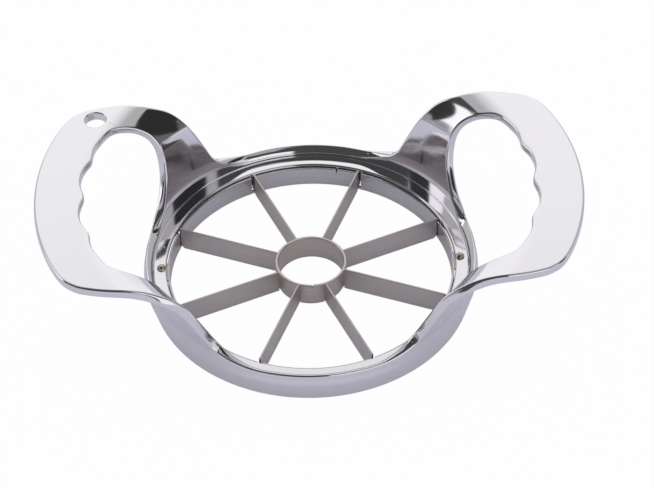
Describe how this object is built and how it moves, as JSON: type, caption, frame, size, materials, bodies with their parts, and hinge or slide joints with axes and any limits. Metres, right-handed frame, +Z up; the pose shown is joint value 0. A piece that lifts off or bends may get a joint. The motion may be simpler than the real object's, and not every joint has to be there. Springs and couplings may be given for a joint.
{
  "type": "fruit slicer",
  "caption": "Push-down fruit slicer: a polished ring casting with two raised finger loops round a steel insert of radial blades and a corer ring.",
  "frame": {"origin": "centre of the ring, at table level", "axes": "+X along the two loops, the hang hole being on the -X loop; +Y away from the user; +Z up"},
  "size_m": [0.17, 0.1062, 0.0407],
  "materials": {
    "polished_zinc": "mirror polished",
    "satin_steel": "satin",
    "rivet_steel": "polished"
  },
  "bodies": {
    "root": {"frame_casting": "polished_zinc", "blade_band": "satin_steel", "corer_ring": "satin_steel", "blade_1": "satin_steel", "blade_2": "satin_steel", "blade_3": "satin_steel", "blade_4": "satin_steel", "blade_5": "satin_steel", "blade_6": "satin_steel", "blade_7": "satin_steel", "blade_8": "satin_steel", "rivet_right": "rivet_steel", "rivet_left": "rivet_steel"}
  },
  "joints": []
}
